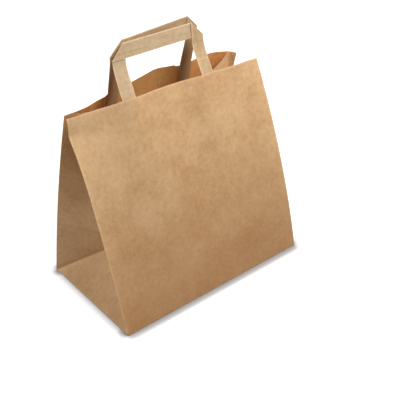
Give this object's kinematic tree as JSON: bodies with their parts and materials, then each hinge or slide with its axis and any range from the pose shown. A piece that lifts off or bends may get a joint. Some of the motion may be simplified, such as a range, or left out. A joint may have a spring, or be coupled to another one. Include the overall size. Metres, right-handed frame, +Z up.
{
  "type": "paper carrier bag",
  "caption": "Open kraft paper carrier bag with a block bottom, folded side gussets and two flat folded paper handles glued inside its mouth.",
  "frame": {"origin": "middle of the base's underside, on the surface that the bag stands on", "axes": "+Z up through the mouth; +X along the bag's width, to the right seen from the front; the front panel, which the picture shows, faces -Y"},
  "size_m": [0.26, 0.1702, 0.3019],
  "materials": {
    "bag_paper": "matt unbleached brown kraft paper with fine fibre mottling, worn paler along the creases",
    "handle_paper": "matt brown kraft paper tape folded in several layers",
    "patch_paper": "matt brown kraft paper sheet, glued down"
  },
  "bodies": {
    "root": {"bag_body": "bag_paper", "front_handle": "handle_paper", "rear_handle": "handle_paper", "front_handle_patch": "patch_paper", "rear_handle_patch": "patch_paper"}
  },
  "joints": []
}
